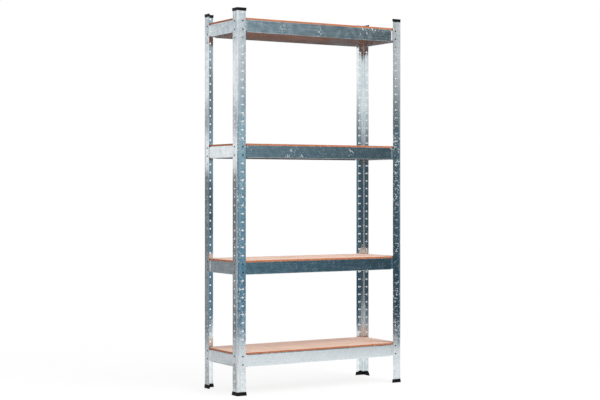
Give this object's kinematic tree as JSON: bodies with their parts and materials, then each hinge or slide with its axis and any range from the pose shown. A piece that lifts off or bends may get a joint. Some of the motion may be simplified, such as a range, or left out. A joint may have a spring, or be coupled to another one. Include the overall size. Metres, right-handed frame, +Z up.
{
  "type": "boltless shelving unit",
  "caption": "Free-standing boltless shelving unit: slotted angle posts, hooked pressed-steel beams, loose wood-fibre boards, black plastic caps and feet.",
  "frame": {"origin": "on the floor, under the middle of the unit", "axes": "+Z up, +X to the right and +Y to the rear, seen from the front"},
  "size_m": [0.9076, 0.3276, 1.757],
  "materials": {
    "galvanised_steel": "zinc-coated sheet steel with a fine spangle",
    "hardboard": "uncoated wood-fibre board, sanded face",
    "black_plastic": "moulded black polypropylene"
  },
  "bodies": {
    "frame": {"front_left_post": "galvanised_steel", "front_left_cap": "black_plastic", "front_left_foot": "black_plastic", "front_right_post": "galvanised_steel", "front_right_cap": "black_plastic", "front_right_foot": "black_plastic", "rear_right_post": "galvanised_steel", "rear_right_cap": "black_plastic", "rear_right_foot": "black_plastic", "rear_left_post": "galvanised_steel", "rear_left_cap": "black_plastic", "rear_left_foot": "black_plastic", "bottom_front_beam": "galvanised_steel", "bottom_front_beam_studs": "galvanised_steel", "bottom_right_beam": "galvanised_steel", "bottom_right_beam_studs": "galvanised_steel", "bottom_rear_beam": "galvanised_steel", "bottom_rear_beam_studs": "galvanised_steel", "bottom_left_beam": "galvanised_steel", "bottom_left_beam_studs": "galvanised_steel", "second_front_beam": "galvanised_steel", "second_front_beam_studs": "galvanised_steel", "second_right_beam": "galvanised_steel", "second_right_beam_studs": "galvanised_steel", "second_rear_beam": "galvanised_steel", "second_rear_beam_studs": "galvanised_steel", "second_left_beam": "galvanised_steel", "second_left_beam_studs": "galvanised_steel", "third_front_beam": "galvanised_steel", "third_front_beam_studs": "galvanised_steel", "third_right_beam": "galvanised_steel", "third_right_beam_studs": "galvanised_steel", "third_rear_beam": "galvanised_steel", "third_rear_beam_studs": "galvanised_steel", "third_left_beam": "galvanised_steel", "third_left_beam_studs": "galvanised_steel", "top_front_beam": "galvanised_steel", "top_front_beam_studs": "galvanised_steel", "top_right_beam": "galvanised_steel", "top_right_beam_studs": "galvanised_steel", "top_rear_beam": "galvanised_steel", "top_rear_beam_studs": "galvanised_steel", "top_left_beam": "galvanised_steel", "top_left_beam_studs": "galvanised_steel"},
    "bottom_shelf_board": {"bottom_board": "hardboard"},
    "second_shelf_board": {"second_board": "hardboard"},
    "third_shelf_board": {"third_board": "hardboard"},
    "top_shelf_board": {"top_board": "hardboard"}
  },
  "joints": [
    {"name": "bottom_board_lift", "type": "slide", "parent": "frame", "child": "bottom_shelf_board", "axis": [0, 0, 1], "range_m": [0, 0.35]},
    {"name": "second_board_lift", "type": "slide", "parent": "frame", "child": "second_shelf_board", "axis": [0, 0, 1], "range_m": [0, 0.464]},
    {"name": "third_board_lift", "type": "slide", "parent": "frame", "child": "third_shelf_board", "axis": [0, 0, 1], "range_m": [0, 0.502]},
    {"name": "top_board_lift", "type": "slide", "parent": "frame", "child": "top_shelf_board", "axis": [0, 0, 1], "range_m": [0, 0.12]}
  ]
}
